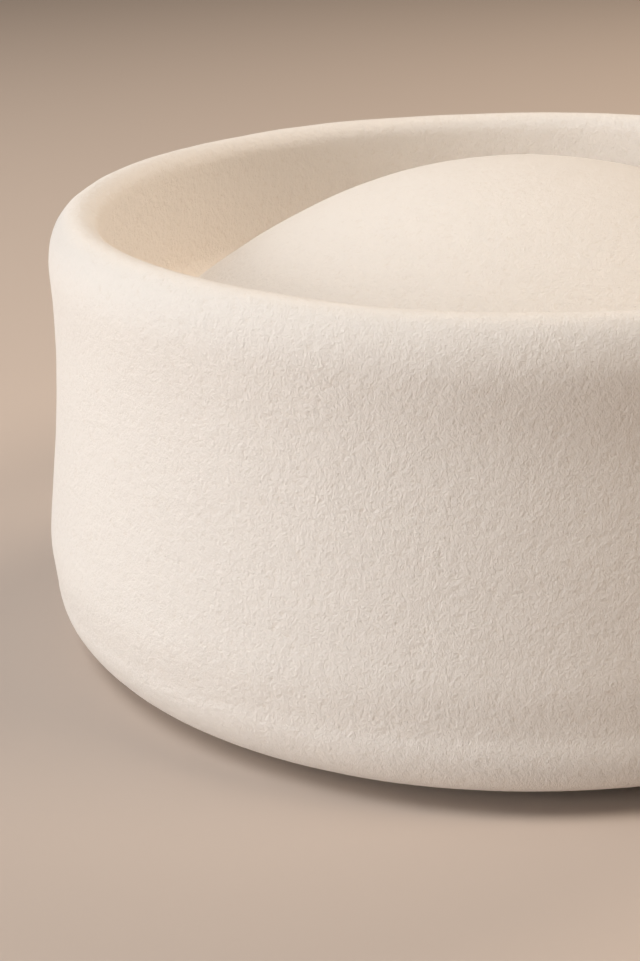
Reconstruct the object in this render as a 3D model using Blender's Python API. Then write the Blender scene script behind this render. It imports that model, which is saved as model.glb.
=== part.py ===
"""Pillbox hat, blocked from one piece of thick wool felt.

Metres, +Z up, the front of the hat towards -Y. The origin is on the surface that the hat rests on,
in the middle of the round outline. The felt is one skin: a hem turned in at the foot, the side wall,
the rolled rim, the rim's inner wall, a round crease and the domed crown that is sunk inside the rim.
"""

import math
from collections import namedtuple

import bmesh
import bpy
from mathutils import Vector

# The felt
FELT_THICKNESS = 0.0025

# Side wall and rolled rim, measured on the outside
RIM_RADIUS = 0.095
RIM_HEIGHT = 0.0831
SHOULDER_WIDTH = 0.006    # from the side wall in to the crest of the rim
SHOULDER_HEIGHT = 0.0098  # from the side wall up to the crest of the rim
LIP_RADIUS = 0.004        # round bend from the crest of the rim down into its inner wall

# Sunk crown
WELL_DEPTH = 0.0263       # from the crest of the rim down to the edge of the dome
CREASE_WIDTH = 0.0071     # from the rim's inner wall to the edge of the dome
DOME_RISE = 0.032         # from the edge of the dome up to its top
DOME_SHIFT = 0.003        # how far the top of the dome leans towards -X

# Foot and turned-in hem
BASE_SPREAD = 0.0027      # how much further out than the rim the wall rounds in to the foot
FOOT_ROUND = 0.0124       # radius of that rounding
SEAT_WIDTH = 0.001        # flat ring that the hat rests on
FOLD_GAP = 0.001          # between the two layers of felt at the fold
HEM_GAP = 0.0005          # between the hem's cut edge and the wall
HEM_DEPTH = 0.020

# The stretch of the foot that stands off the surface. Its angle is counted from the front, positive
# to the hat's +X side.
FOOT_LIFT = 0.0035
LIFT_ANGLE = math.radians(24)
LIFT_WIDTH = math.radians(84)  # from the middle of the stretch to either end
LIFT_TOP = RIM_HEIGHT / 2      # height where the lift has faded out
LIFT_FLARE = 1.9               # how far the edge swings out, as a share of its lift

# Sections of the side wall from the rounded foot to the roll. The height is a share of RIM_HEIGHT,
# and the radius a share of RIM_RADIUS.
Section = namedtuple("Section", "height radius")
SIDE_SECTIONS = (
    Section(0.236, 1.036),
    Section(0.346, 1.026),
    Section(0.480, 1.012),
    Section(0.610, 1.002),
    Section(0.750, 0.997),
)

# Soft hollows in the side wall. The angle is counted from the front, positive to the hat's +X side.
# The height and its reach are shares of RIM_HEIGHT, and the depth is a share of FELT_THICKNESS.
Dent = namedtuple("Dent", "angle width height reach depth")
DENTS = (
    Dent(math.radians(24), math.radians(60), 0.74, 0.26, 0.45),
    Dent(math.radians(-160), math.radians(40), 0.62, 0.25, 0.30),
)

# Fineness of the faceted felt
AROUND = 64
HEM_STEPS = 2
FOLD_STEPS = 4
FOOT_STEPS = 5
SIDE_STEPS = 9
SHOULDER_STEPS = 5
LIP_STEPS = 4
WELL_STEPS = 2
CREASE_STEPS = 4
DOME_STEPS = 8

FELT_COLOUR = (0.82, 0.75, 0.66, 1.0)
FELT_ROUGHNESS = 0.95

BASE_RADIUS = RIM_RADIUS + BASE_SPREAD
CREST_RADIUS = RIM_RADIUS - SHOULDER_WIDTH
WELL_RADIUS = CREST_RADIUS - LIP_RADIUS
FOLD_RADIUS = FELT_THICKNESS + FOLD_GAP / 2


def clear_scene():
    for item in list(bpy.data.objects):
        bpy.data.objects.remove(item, do_unlink=True)


def arc(centre, width, height, start, end, steps):
    """Points of a bend in the section plane, a stretch of an ellipse with these half axes."""
    points = []
    for i in range(steps + 1):
        angle = start + (end - start) * i / steps
        points.append(centre + Vector((width * math.cos(angle), height * math.sin(angle))))
    return points


def smooth_curve(knots, steps):
    """Evenly stepped points on a Catmull-Rom curve from the second knot to the last but one."""
    spans = len(knots) - 3
    points = []
    for i in range(steps + 1):
        place = spans * i / steps
        span = min(int(place), spans - 1)
        t = place - span
        before, first, second, after = knots[span:span + 4]
        points.append(
            0.5 * (2 * first + (second - before) * t
                   + (2 * before - 5 * first + 4 * second - after) * t ** 2
                   + (3 * first - before - 3 * second + after) * t ** 3)
        )
    return points


def hem_and_foot():
    """From the hem's cut edge down the inside, round the fold and out round the foot to the wall."""
    foot_centre = Vector((BASE_RADIUS - FOOT_ROUND, FOOT_ROUND))
    fold_centre = Vector((foot_centre.x - SEAT_WIDTH, FOLD_RADIUS))
    cut_edge = Vector((BASE_RADIUS - 2 * FELT_THICKNESS - HEM_GAP, HEM_DEPTH))
    reach = cut_edge - fold_centre
    hem_turn = math.atan2(reach.y, reach.x) + math.acos(FOLD_RADIUS / reach.length)
    fold = arc(fold_centre, FOLD_RADIUS, FOLD_RADIUS, hem_turn, math.radians(270), FOLD_STEPS)
    foot = arc(foot_centre, FOOT_ROUND, FOOT_ROUND, math.radians(-90), 0, FOOT_STEPS)
    hem = [cut_edge.lerp(fold[0], i / HEM_STEPS) for i in range(HEM_STEPS)]
    return hem + fold + foot


def side_wall(foot):
    """From the foot up the outside to the start of the roll, through the table of sections."""
    start = foot[-1]
    run_in = foot[-1] - foot[-2]
    rows = [Vector((RIM_RADIUS * row.radius, RIM_HEIGHT * row.height)) for row in SIDE_SECTIONS]
    end = Vector((RIM_RADIUS, RIM_HEIGHT - SHOULDER_HEIGHT))
    knots = [start - run_in, start] + rows + [end, end + Vector((0, SHOULDER_HEIGHT))]
    return smooth_curve(knots, SIDE_STEPS)[1:]


def rim_and_well():
    """Over the rolled rim and down its inner wall to the crease."""
    shoulder_centre = Vector((CREST_RADIUS, RIM_HEIGHT - SHOULDER_HEIGHT))
    lip_centre = Vector((CREST_RADIUS, RIM_HEIGHT - LIP_RADIUS))
    crest = math.pi / 2
    shoulder = arc(shoulder_centre, SHOULDER_WIDTH, SHOULDER_HEIGHT, 0, crest, SHOULDER_STEPS)[1:]
    lip = arc(lip_centre, LIP_RADIUS, LIP_RADIUS, crest, math.pi, LIP_STEPS)[1:]
    crease = crease_bend()
    wall = [lip[-1].lerp(crease[0], i / WELL_STEPS) for i in range(1, WELL_STEPS)]
    return shoulder + lip + wall + crease


def dome_edge():
    return Vector((WELL_RADIUS - CREASE_WIDTH, RIM_HEIGHT - WELL_DEPTH))


def crease_bend():
    """Round bend from the rim's inner wall, which stands upright, to the edge of the dome."""
    slope = math.atan2(2 * DOME_RISE, dome_edge().x)
    radius = CREASE_WIDTH / (1 + math.sin(slope))
    centre = dome_edge() + radius * Vector((math.sin(slope), math.cos(slope)))
    return arc(centre, radius, radius, 0, -math.pi / 2 - slope, CREASE_STEPS)


def dome():
    """From the edge of the dome to the middle of the crown."""
    edge = dome_edge()
    points = []
    for i in range(1, DOME_STEPS + 1):
        share = 1 - i / DOME_STEPS
        points.append(Vector((edge.x * share, edge.y + DOME_RISE * (1 - share ** 2))))
    return points


def felt_outline():
    foot = hem_and_foot()
    return foot + side_wall(foot) + rim_and_well() + dome()


def spun_skin(outline):
    """The visible skin of the felt, spun round the hat's axis so that its faces look outwards."""
    shape = bmesh.new()
    corners = [shape.verts.new((0, -point.x, point.y)) for point in outline]
    edges = [shape.edges.new(pair) for pair in zip(corners, corners[1:])]
    bmesh.ops.spin(
        shape, geom=corners + edges, cent=(0, 0, 0), axis=(0, 0, 1), angle=-2 * math.pi,
        steps=AROUND, use_merge=True, use_duplicate=False,
    )
    bmesh.ops.remove_doubles(shape, verts=shape.verts, dist=1e-6)
    return shape


def hollow(value, width):
    """Smooth weight, 1 at the middle of a hollow and 0 at its rim."""
    return math.cos(math.pi / 2 * min(1.0, abs(value) / width)) ** 2


def press_dents(shape):
    """Press the soft hollows into the side wall, outside the crest of the rim."""
    for vert in shape.verts:
        radius = math.hypot(vert.co.x, vert.co.y)
        if radius < CREST_RADIUS or vert.co.z < HEM_DEPTH:
            continue
        angle = math.atan2(vert.co.x, -vert.co.y)
        depth = 0.0
        for dent in DENTS:
            turn = (angle - dent.angle + math.pi) % (2 * math.pi) - math.pi
            rise = vert.co.z / RIM_HEIGHT - dent.height
            depth += dent.depth * FELT_THICKNESS * hollow(turn, dent.width) * hollow(rise, dent.reach)
        vert.co.xy *= (radius - depth) / radius


def lean_dome(shape):
    """Move the top of the dome to the side, fading out at the rim's inner wall."""
    for vert in shape.verts:
        share = math.hypot(vert.co.x, vert.co.y) / WELL_RADIUS
        if share < 1 and vert.co.z > HEM_DEPTH:
            vert.co.x -= DOME_SHIFT * (1 - share ** 2)


def lift_foot(shape):
    """Lift a stretch of the foot off the surface and let its edge swing out."""
    for vert in shape.verts:
        if vert.co.z >= LIFT_TOP:
            continue
        radius = math.hypot(vert.co.x, vert.co.y)
        angle = math.atan2(vert.co.x, -vert.co.y)
        lift = FOOT_LIFT * hollow(angle - LIFT_ANGLE, LIFT_WIDTH)
        flare = LIFT_FLARE * lift * max(0.0, 1 - vert.co.z / HEM_DEPTH) ** 2
        vert.co.xy *= (radius + flare) / radius
        vert.co.z += lift * (1 - vert.co.z / LIFT_TOP)


def felt_material():
    material = bpy.data.materials.new("ivory_felt")
    material.use_nodes = True
    shader = material.node_tree.nodes["Principled BSDF"]
    shader.inputs["Base Color"].default_value = FELT_COLOUR
    shader.inputs["Roughness"].default_value = FELT_ROUGHNESS
    shader.inputs["Metallic"].default_value = 0.0
    return material


def build_felt_body():
    shape = spun_skin(felt_outline())
    press_dents(shape)
    lean_dome(shape)
    lift_foot(shape)
    mesh = bpy.data.meshes.new("felt_body")
    shape.to_mesh(mesh)
    shape.free()
    mesh.shade_smooth()
    mesh.materials.append(felt_material())
    body = bpy.data.objects.new("felt_body", mesh)
    bpy.context.scene.collection.objects.link(body)
    felt = body.modifiers.new("felt thickness", "SOLIDIFY")
    felt.thickness = FELT_THICKNESS
    felt.offset = -1
    felt.use_even_offset = True


clear_scene()
build_felt_body()
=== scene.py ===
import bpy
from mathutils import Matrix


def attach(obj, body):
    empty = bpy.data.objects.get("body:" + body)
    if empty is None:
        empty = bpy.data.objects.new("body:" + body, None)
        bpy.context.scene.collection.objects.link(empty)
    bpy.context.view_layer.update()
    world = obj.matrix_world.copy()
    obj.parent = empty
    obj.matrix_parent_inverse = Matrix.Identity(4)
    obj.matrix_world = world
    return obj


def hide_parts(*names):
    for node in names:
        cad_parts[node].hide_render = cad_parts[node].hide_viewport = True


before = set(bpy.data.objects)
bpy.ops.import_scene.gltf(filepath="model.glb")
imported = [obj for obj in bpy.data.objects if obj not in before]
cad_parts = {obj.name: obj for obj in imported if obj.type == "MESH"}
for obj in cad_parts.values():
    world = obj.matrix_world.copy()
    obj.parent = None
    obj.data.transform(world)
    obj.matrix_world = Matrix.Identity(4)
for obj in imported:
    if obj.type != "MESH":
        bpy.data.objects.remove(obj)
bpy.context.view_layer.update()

import math
from collections import namedtuple

import bmesh
import bpy
from mathutils import Vector, noise

# The hat itself: one sheet of thick ivory wool felt, steamed and pulled over a block, and brushed.
# It runs from a hem turned in at the foot, up the side, over the soft rolled rim, down its inner wall
# and over the domed crown. The foot lifts off the surface near the front and swings out a little.
felt_thickness = 0.0025
rim_radius = 0.095
rim_height = 0.0831
shoulder_width = 0.006
shoulder_height = 0.0098
lip_radius = 0.004
crest_radius = rim_radius - shoulder_width
well_radius = crest_radius - lip_radius
well_depth = 0.0263
crease_width = 0.0071
dome_rise = 0.032
dome_lean = 0.003
base_radius = rim_radius + 0.0027
foot_round = 0.0124
seat_width = 0.001
fold_radius = felt_thickness + 0.0005
hem_depth = 0.020
hem_gap = 0.0005

# the side wall: heights are shares of the rim's height, and radii shares of the rim's radius
WallRow = namedtuple("WallRow", "height radius")
wall_rows = (
    WallRow(0.236, 1.036),
    WallRow(0.346, 1.026),
    WallRow(0.480, 1.012),
    WallRow(0.610, 1.002),
    WallRow(0.750, 0.997),
)

# hollows pressed into the side wall: where they are, how far they reach round and up, and how deep
SoftHollow = namedtuple("SoftHollow", "around width height reach depth")
soft_hollows = (
    SoftHollow(math.radians(24), math.radians(60), 0.74, 0.26, 0.00112),
    SoftHollow(math.radians(-160), math.radians(40), 0.62, 0.25, 0.00075),
)

# the stretch of the foot that stands off the surface; the flare is a share of the lift
foot_lift = 0.0035
lift_middle = math.radians(24)
lift_width = math.radians(84)
lift_top = rim_height / 2
lift_flare = 1.9

# unevenness of the hand-worked skin: slow waves, small lumps and a coarse grain
Unevenness = namedtuple("Unevenness", "width height start")
skin_unevenness = (
    Unevenness(0.042, 0.00030, Vector((0, 0, 0))),
    Unevenness(0.012, 0.00010, Vector((7, 3, 5))),
    Unevenness(0.0052, 0.00006, Vector((2, 9, 4))),
)
seated_height = 0.006

# how finely each stretch of the felt is stepped
hem_steps = 8
fold_steps = 10
foot_steps = 18
wall_steps = 46
shoulder_steps = 14
lip_steps = 10
well_steps = 12
crease_steps = 16
dome_steps = 44
steps_around = 216


def bend(centre, width, height, start, end, steps):
    turns = [start + (end - start) * i / steps for i in range(steps + 1)]
    return [centre + Vector((width * math.cos(turn), height * math.sin(turn))) for turn in turns]


def smooth_run(knots, steps):
    """Evenly stepped points on a smooth curve from the second knot to the last but one."""
    points = []
    for i in range(steps + 1):
        place = (len(knots) - 3) * i / steps
        span = min(int(place), len(knots) - 4)
        t = place - span
        a, b, c, d = knots[span:span + 4]
        points.append(0.5 * (2 * b + (c - a) * t + (2 * a - 5 * b + 4 * c - d) * t ** 2
                             + (3 * b - a - 3 * c + d) * t ** 3))
    return points


def felt_section():
    """The felt's visible skin in section, from the hem's cut edge to the middle of the crown."""
    foot_centre = Vector((base_radius - foot_round, foot_round))
    fold_centre = Vector((foot_centre.x - seat_width, fold_radius))
    cut_edge = Vector((base_radius - 2 * felt_thickness - hem_gap, hem_depth))
    reach = cut_edge - fold_centre
    hem_turn = math.atan2(reach.y, reach.x) + math.acos(fold_radius / reach.length)
    fold = bend(fold_centre, fold_radius, fold_radius, hem_turn, math.radians(270), fold_steps)
    foot = bend(foot_centre, foot_round, foot_round, math.radians(-90), 0, foot_steps)
    hem = [cut_edge.lerp(fold[0], i / hem_steps) for i in range(hem_steps)]
    rows = [Vector((rim_radius * row.radius, rim_height * row.height)) for row in wall_rows]
    shoulder_start = Vector((rim_radius, rim_height - shoulder_height))
    knots = [2 * foot[-1] - foot[-3], foot[-1]] + rows
    knots += [shoulder_start, shoulder_start + Vector((0, shoulder_height))]
    wall = smooth_run(knots, wall_steps)[1:]
    shoulder = bend(Vector((crest_radius, rim_height - shoulder_height)), shoulder_width, shoulder_height,
                    0, math.pi / 2, shoulder_steps)[1:]
    lip = bend(Vector((crest_radius, rim_height - lip_radius)), lip_radius, lip_radius,
               math.pi / 2, math.pi, lip_steps)[1:]
    edge = Vector((well_radius - crease_width, rim_height - well_depth))
    slope = math.atan2(2 * dome_rise, edge.x)
    crease_radius = crease_width / (1 + math.sin(slope))
    centre = edge + crease_radius * Vector((math.sin(slope), math.cos(slope)))
    crease = bend(centre, crease_radius, crease_radius, 0, -math.pi / 2 - slope, crease_steps)
    well = [lip[-1].lerp(crease[0], i / well_steps) for i in range(1, well_steps)]
    shares = [1 - i / dome_steps for i in range(1, dome_steps + 1)]
    dome = [Vector((edge.x * share, edge.y + dome_rise * (1 - share ** 2))) for share in shares]
    return hem + fold + foot + wall + shoulder + lip + well + crease + dome


def fade(distance, reach):
    """Smooth weight, 1 in the middle and 0 from the reach on."""
    return math.cos(math.pi / 2 * min(1.0, abs(distance) / reach)) ** 2


def pressed_in(angle, height):
    """Depth of the soft hollows in the side wall, with the height as a share of the rim's height."""
    depth = 0.0
    for dent in soft_hollows:
        turn = (angle - dent.around + math.pi) % (2 * math.pi) - math.pi
        depth += dent.depth * fade(turn, dent.width) * fade(height - dent.height, dent.reach)
    return depth


def hand_worked(place):
    """How far the hand-worked skin stands out here, in metres."""
    return sum(noise.noise(place / part.width + part.start) * part.height for part in skin_unevenness)


felt = bmesh.new()
corners = [felt.verts.new((0, -point.x, point.y)) for point in felt_section()]
edges = [felt.edges.new(pair) for pair in zip(corners, corners[1:])]
bmesh.ops.spin(felt, geom=corners + edges, cent=(0, 0, 0), axis=(0, 0, 1), angle=-2 * math.pi,
               steps=steps_around, use_merge=True, use_duplicate=False)
bmesh.ops.remove_doubles(felt, verts=felt.verts, dist=1e-6)
for vert in felt.verts:
    radius = math.hypot(vert.co.x, vert.co.y)
    angle = math.atan2(vert.co.x, -vert.co.y)
    if radius > crest_radius and vert.co.z > hem_depth:
        vert.co.xy *= (radius - pressed_in(angle, vert.co.z / rim_height)) / radius
    if radius < well_radius and vert.co.z > hem_depth:
        vert.co.x -= dome_lean * (1 - (radius / well_radius) ** 2)
    lift = foot_lift * fade(angle - lift_middle, lift_width)
    flare = lift_flare * lift * max(0.0, 1 - vert.co.z / hem_depth) ** 2
    vert.co.xy *= 1 + flare / max(radius, foot_round)
    vert.co.z += lift * max(0.0, 1 - vert.co.z / lift_top)
felt.normal_update()
for vert in felt.verts:
    seated = min(1.0, vert.co.z / seated_height)
    vert.co += vert.normal * hand_worked(vert.co) * seated
felt_mesh = bpy.data.meshes.new("felt_hat")
felt.to_mesh(felt_mesh)
felt.free()
felt_mesh.shade_smooth()
felt_hat = bpy.data.objects.new("felt_hat", felt_mesh)
bpy.context.scene.collection.objects.link(felt_hat)
thickness = felt_hat.modifiers.new("felt thickness", "SOLIDIFY")
thickness.thickness = felt_thickness
thickness.offset = -1
thickness.use_even_offset = True

# the wool's finish: matt and slightly downy. Its colour follows the fibre relief, a shade darker between
# the fibres than on them: painted shade in the relief's hollows
wool_painted_shade_between = (0.80, 0.728, 0.65, 1)
wool_on_top = (0.88, 0.83, 0.775, 1)
wool_down = (1.0, 0.93, 0.85, 1)
wool_relief_height = 0.0003
ivory_wool = bpy.data.materials.new("ivory_wool_felt")
ivory_wool.use_nodes = True
wool_nodes = ivory_wool.node_tree.nodes
wool_links = ivory_wool.node_tree.links
wool_shader = wool_nodes["Principled BSDF"]


def wool_noise(scale, detail, roughness, distortion, turn, stretch=(1, 1, 1)):
    """One layer of the wool's pattern, on the hat's own coordinates in metres."""
    where = wool_nodes.new("ShaderNodeTexCoord")
    mapping = wool_nodes.new("ShaderNodeMapping")
    mapping.inputs["Rotation"].default_value = turn
    mapping.inputs["Scale"].default_value = stretch
    pattern = wool_nodes.new("ShaderNodeTexNoise")
    pattern.inputs["Scale"].default_value = scale
    pattern.inputs["Detail"].default_value = detail
    pattern.inputs["Roughness"].default_value = roughness
    pattern.inputs["Distortion"].default_value = distortion
    wool_links.new(where.outputs["Object"], mapping.inputs["Vector"])
    wool_links.new(mapping.outputs["Vector"], pattern.inputs["Vector"])
    return pattern.outputs["Fac"]


def wool_sum(first, second, share):
    """First plus a share of second."""
    add = wool_nodes.new("ShaderNodeMath")
    add.operation = "MULTIPLY_ADD"
    add.inputs[1].default_value = share
    wool_links.new(second, add.inputs[0])
    wool_links.new(first, add.inputs[2])
    return add.outputs[0]


pile = wool_noise(scale=640, detail=3, roughness=0.5, distortion=0.0, turn=(0.5, 0.3, 0.6))
tufts = wool_noise(scale=1700, detail=2, roughness=0.6, distortion=0.3, turn=(0.2, 0.7, 0.1),
                   stretch=(1, 1.2, 0.9))
fibres = wool_noise(scale=3800, detail=2, roughness=0.7, distortion=0.6, turn=(0.6, 0.2, 0.9),
                    stretch=(1.3, 1, 0.7))
relief = wool_sum(wool_sum(pile, tufts, share=0.6), fibres, share=0.6)
wool_bump = wool_nodes.new("ShaderNodeBump")
wool_bump.inputs["Strength"].default_value = 1.0
wool_bump.inputs["Distance"].default_value = wool_relief_height
wool_links.new(relief, wool_bump.inputs["Height"])
wool_links.new(wool_bump.outputs["Normal"], wool_shader.inputs["Normal"])
# colour by relief height: the darker end, in the low parts between the fibres, is painted shade
tint = wool_nodes.new("ShaderNodeValToRGB")
tint.color_ramp.elements[0].position = 0.55
tint.color_ramp.elements[0].color = wool_painted_shade_between
tint.color_ramp.elements[1].position = 1.25
tint.color_ramp.elements[1].color = wool_on_top
wool_links.new(relief, tint.inputs["Fac"])
wool_links.new(tint.outputs["Color"], wool_shader.inputs["Base Color"])
wool_shader.inputs["Roughness"].default_value = 0.95
wool_shader.inputs["Specular IOR Level"].default_value = 0.2
wool_shader.inputs["Sheen Weight"].default_value = 0.25
wool_shader.inputs["Sheen Roughness"].default_value = 0.6
wool_shader.inputs["Sheen Tint"].default_value = wool_down
felt_mesh.materials.append(ivory_wool)

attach(felt_hat, "root")
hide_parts("felt_body")

# The floor: a plain, pale, warm surface without an edge in view. It only catches the hat's shadow
# and throws a little warm light back on to the foot.
floor_half_width = 6
paper_colour = (0.58, 0.49, 0.425, 1)
plane = bmesh.new()
bmesh.ops.create_grid(plane, x_segments=1, y_segments=1, size=floor_half_width)
floor_mesh = bpy.data.meshes.new("floor")
plane.to_mesh(floor_mesh)
plane.free()
floor = bpy.data.objects.new("floor", floor_mesh)
bpy.context.scene.collection.objects.link(floor)
pale_paper = bpy.data.materials.new("pale_paper")
pale_paper.use_nodes = True
paper_shader = pale_paper.node_tree.nodes["Principled BSDF"]
paper_shader.inputs["Base Color"].default_value = paper_colour
paper_shader.inputs["Roughness"].default_value = 0.8
paper_shader.inputs["Specular IOR Level"].default_value = 0.2
floor_mesh.materials.append(pale_paper)

# The light: three white soft panels on the left of the view, low, in front and high, two warm ones on
# the right and behind, and a dim warm room. The angles in degrees are counted round the hat from the
# camera, positive to the right of the view, and up from the floor.
SoftPanel = namedtuple("SoftPanel", "name around above watts tint")
white_light = (1.0, 1.0, 1.0)
warm_light = (1.0, 0.84, 0.68)
soft_panels = (
    SoftPanel("side_panel", around=-85, above=25, watts=3.4, tint=white_light),
    SoftPanel("side_front_panel", around=-55, above=12, watts=7.3, tint=white_light),
    SoftPanel("high_panel", around=-60, above=62, watts=6.3, tint=white_light),
    SoftPanel("right_panel", around=74, above=54, watts=5.8, tint=warm_light),
    SoftPanel("back_panel", around=140, above=45, watts=7.6, tint=warm_light),
)
panel_distance = 1.3
panel_width = 0.6
lit_point = Vector((0, 0, 0.04))
room_colour = (0.80, 0.60, 0.46, 1)
room_strength = 0.03
for panel in soft_panels:
    around = math.radians(panel.around)
    above = math.radians(panel.above)
    level = Vector((math.sin(around), -math.cos(around), 0)) * math.cos(above)
    place = panel_distance * (level + Vector((0, 0, math.sin(above))))
    light = bpy.data.lights.new(panel.name, "AREA")
    light.shape = "DISK"
    light.size = panel_width
    light.energy = panel.watts
    light.color = panel.tint
    lamp = bpy.data.objects.new(panel.name, light)
    lamp.location = place
    lamp.rotation_euler = (lit_point - place).to_track_quat("-Z", "Y").to_euler()
    bpy.context.scene.collection.objects.link(lamp)
room = bpy.data.worlds.new("dim_room")
room.use_nodes = True
room.node_tree.nodes["Background"].inputs["Color"].default_value = room_colour
room.node_tree.nodes["Background"].inputs["Strength"].default_value = room_strength
bpy.context.scene.world = room
bpy.context.scene.view_settings.view_transform = "Standard"

# The camera: a portrait lens, close to the hat and 18 degrees above its middle. The picture is cut
# from the left part of the view, so the right part of the hat runs out of it as in the photograph.
camera_distance = 0.4085
camera_above = 0.311
aimed_height = rim_height / 2
lens_pixels = 2017.6
picture_width = 640
picture_height = 961
view_middle_x = 541.4
view_middle_y = 393.2
camera_data = bpy.data.cameras.new("camera")
camera_data.lens = lens_pixels * camera_data.sensor_width / picture_height
camera_data.shift_x = (picture_width / 2 - view_middle_x) / picture_height
camera_data.shift_y = (view_middle_y - picture_height / 2) / picture_height
camera = bpy.data.objects.new("camera", camera_data)
camera.location = (0, -camera_distance * math.cos(camera_above),
                   aimed_height + camera_distance * math.sin(camera_above))
camera.rotation_euler = (math.pi / 2 - camera_above, 0, 0)
bpy.context.scene.collection.objects.link(camera)
bpy.context.scene.camera = camera
